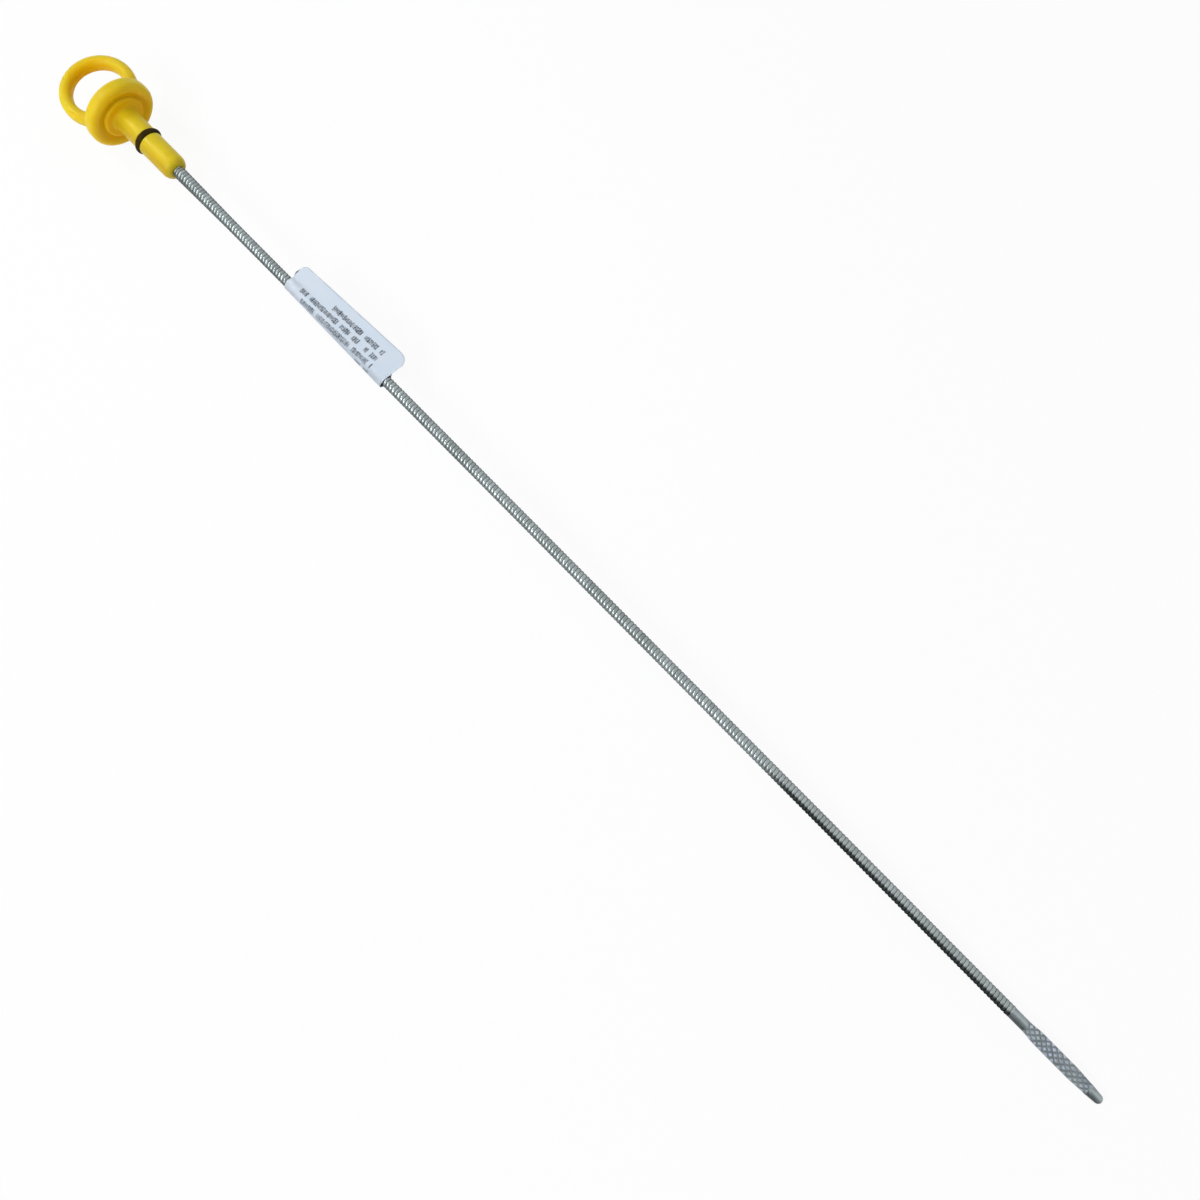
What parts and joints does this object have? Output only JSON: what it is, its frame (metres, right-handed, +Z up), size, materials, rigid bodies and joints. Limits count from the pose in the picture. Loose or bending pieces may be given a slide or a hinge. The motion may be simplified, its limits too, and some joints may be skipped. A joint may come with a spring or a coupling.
{
  "type": "engine oil dipstick",
  "caption": "Engine oil dipstick with a yellow pull ring, disc and sealed plug, a close wire-wound shaft, a pressed cross-hatched reading tip and a folded paper flag.",
  "frame": {"origin": "centre of the bounding box at the surface that the dipstick lies on", "axes": "+X along the shaft from the pull ring to the tip, +Z up, with the pull ring level and the paper flag towards +Y"},
  "size_m": [0.5348, 0.0306, 0.0286],
  "materials": {
    "handle": "smooth moulded yellow plastic",
    "o_ring": "black rubber with a slight sheen",
    "winding": "bright spring wire, darker in the grooves",
    "core_wire": "plain drawn wire",
    "tip": "grey steel, pressed and cross-hatched",
    "label": "white self-adhesive paper with a faint blue cast"
  },
  "bodies": {
    "root": {"handle": "handle", "o_ring": "o_ring", "winding": "winding", "core_wire": "core_wire", "tip": "tip", "label": "label"}
  },
  "joints": []
}
